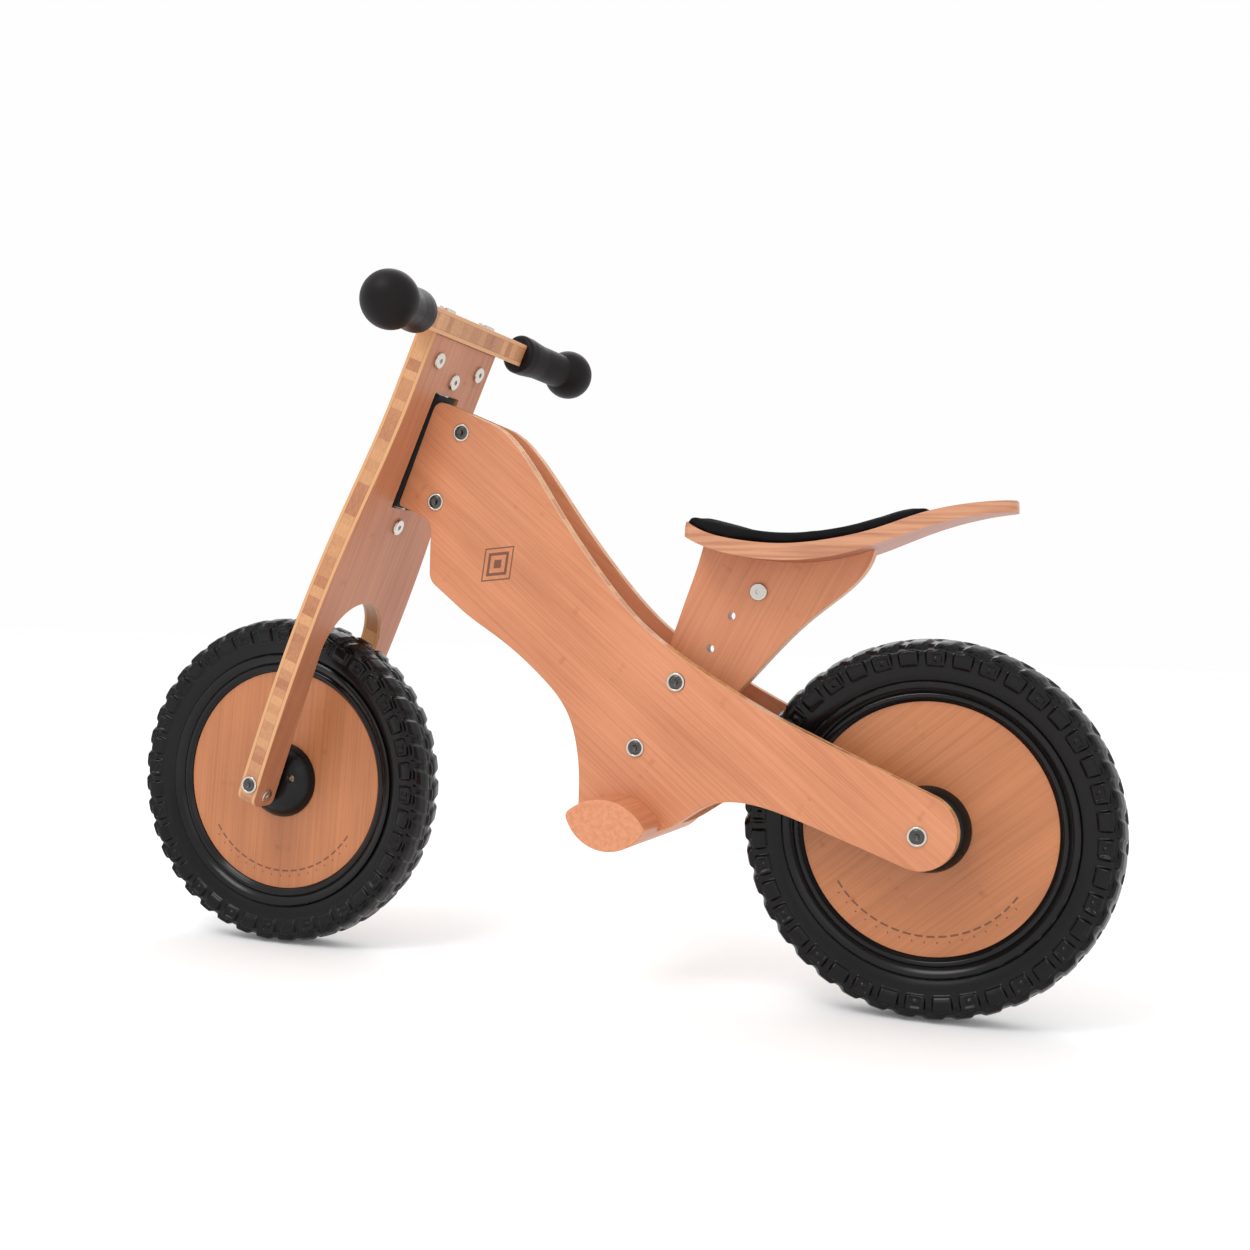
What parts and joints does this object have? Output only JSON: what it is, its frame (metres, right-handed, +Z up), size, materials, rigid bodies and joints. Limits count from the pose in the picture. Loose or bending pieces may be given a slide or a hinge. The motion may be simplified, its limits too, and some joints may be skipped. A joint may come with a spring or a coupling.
{
  "type": "balance bike",
  "caption": "Child's pedal-free balance bike in bamboo plywood with twin frame plates, steering fork board, padded bent seat on a bolted post and black treaded tyres",
  "frame": {"origin": "on the ground midway between the wheel hubs, in the middle plane", "axes": "+X forwards, +Y to the rider's left, +Z up"},
  "size_m": [0.847, 0.3786, 0.5462],
  "materials": {
    "frame_bamboo": "satin clear lacquer",
    "fork_bamboo": "satin clear lacquer",
    "disc_bamboo": "satin clear lacquer",
    "seat_ply": "satin clear lacquer",
    "foam": "matt closed-cell foam",
    "tyre": "matt",
    "grip": "matt",
    "rim": "satin moulded",
    "cap": "satin moulded",
    "block": "moulded",
    "bolts": "nickel plated",
    "steel": "plain"
  },
  "bodies": {
    "frame": {"left_frame_plate": "frame_bamboo", "right_frame_plate": "frame_bamboo", "head_block": "block", "head_bolts": "bolts", "post_bolts": "bolts", "post_spacers": "block", "footrest_bar": "frame_bamboo", "footrest_screws": "bolts", "rear_axle": "steel", "rear_axle_bolts": "bolts", "rear_axle_spacers": "block", "seat_board": "seat_ply", "seat_pad": "foam", "seat_post": "frame_bamboo", "seat_bolt": "bolts", "seat_screw": "bolts", "seat_dowel": "bolts"},
    "fork": {"fork_board": "fork_bamboo", "handlebar": "fork_bamboo", "left_grip": "grip", "right_grip": "grip", "bar_bolts": "bolts", "bar_dowels": "bolts", "pivot_bolts": "bolts", "pivot_dowels": "bolts", "pivot_washers": "steel", "leg_bolts": "bolts", "front_axle": "steel", "front_axle_bolts": "bolts", "front_axle_spacers": "block"},
    "front_wheel": {"front_tyre": "tyre", "front_rim": "rim", "front_left_disc": "disc_bamboo", "front_right_disc": "disc_bamboo", "front_left_cap": "cap", "front_right_cap": "cap", "front_cap_screws": "bolts", "front_bearings": "steel"},
    "rear_wheel": {"rear_tyre": "tyre", "rear_rim": "rim", "rear_left_disc": "disc_bamboo", "rear_right_disc": "disc_bamboo", "rear_left_cap": "cap", "rear_right_cap": "cap", "rear_cap_screws": "bolts", "rear_bearings": "steel"}
  },
  "joints": [
    {"name": "steering", "type": "hinge", "parent": "frame", "child": "fork", "pos_m": [0.16354, 0, 0.43192], "axis": [-0.3769, 0, 0.9263], "range_deg": [-20, 20]},
    {"name": "front_wheel_spin", "type": "hinge", "parent": "fork", "child": "front_wheel", "pos_m": [0.2815, 0, 0.142], "axis": [0, 1, 0], "continuous": true},
    {"name": "rear_wheel_spin", "type": "hinge", "parent": "frame", "child": "rear_wheel", "pos_m": [-0.2815, 0, 0.142], "axis": [0, 1, 0], "continuous": true}
  ]
}
